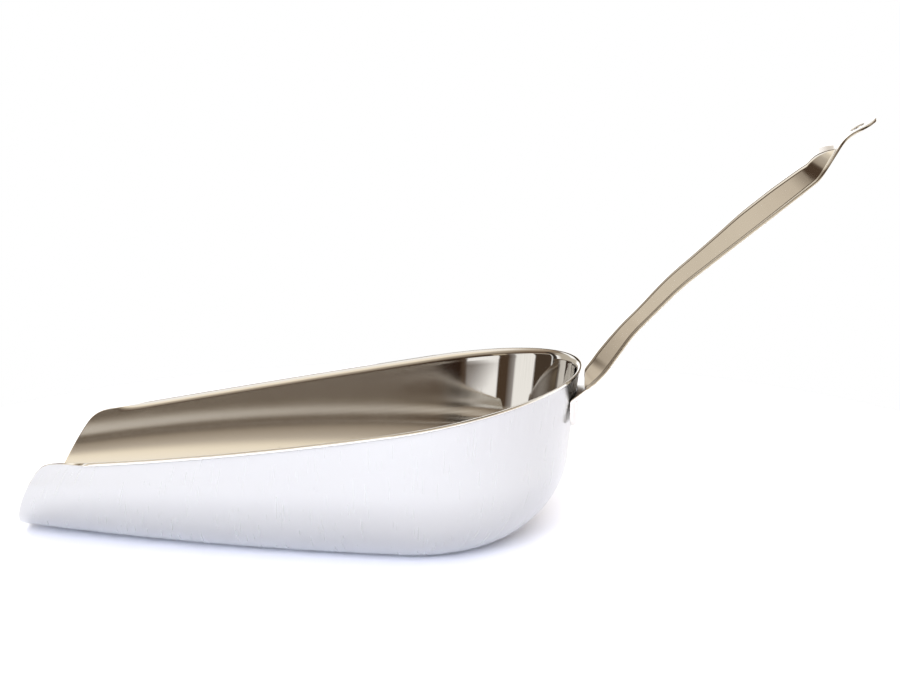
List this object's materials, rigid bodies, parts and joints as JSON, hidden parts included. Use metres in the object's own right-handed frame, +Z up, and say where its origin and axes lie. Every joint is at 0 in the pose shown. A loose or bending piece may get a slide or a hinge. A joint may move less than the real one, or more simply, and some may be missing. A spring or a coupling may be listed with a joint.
{
  "type": "ice scoop",
  "caption": "Stainless steel ice scoop: a deep-drawn bowl, open at the front, with a pressed strap handle spot-welded to its back and a hanging hole in the handle's end.",
  "frame": {"origin": "centre of the bounding box in plan, at the height of the flat the scoop stands on", "axes": "+X from the mouth towards the handle's end, +Y across the bowl, +Z up; the X-Z plane is the plane of symmetry"},
  "size_m": [0.3, 0.1148, 0.1542],
  "materials": {
    "bowl_steel": "satin outside, polished inside",
    "handle_steel": "polished",
    "weld_steel": "as welded, dull"
  },
  "bodies": {
    "root": {"bowl": "bowl_steel", "handle": "handle_steel", "spot_welds": "weld_steel"}
  },
  "joints": []
}
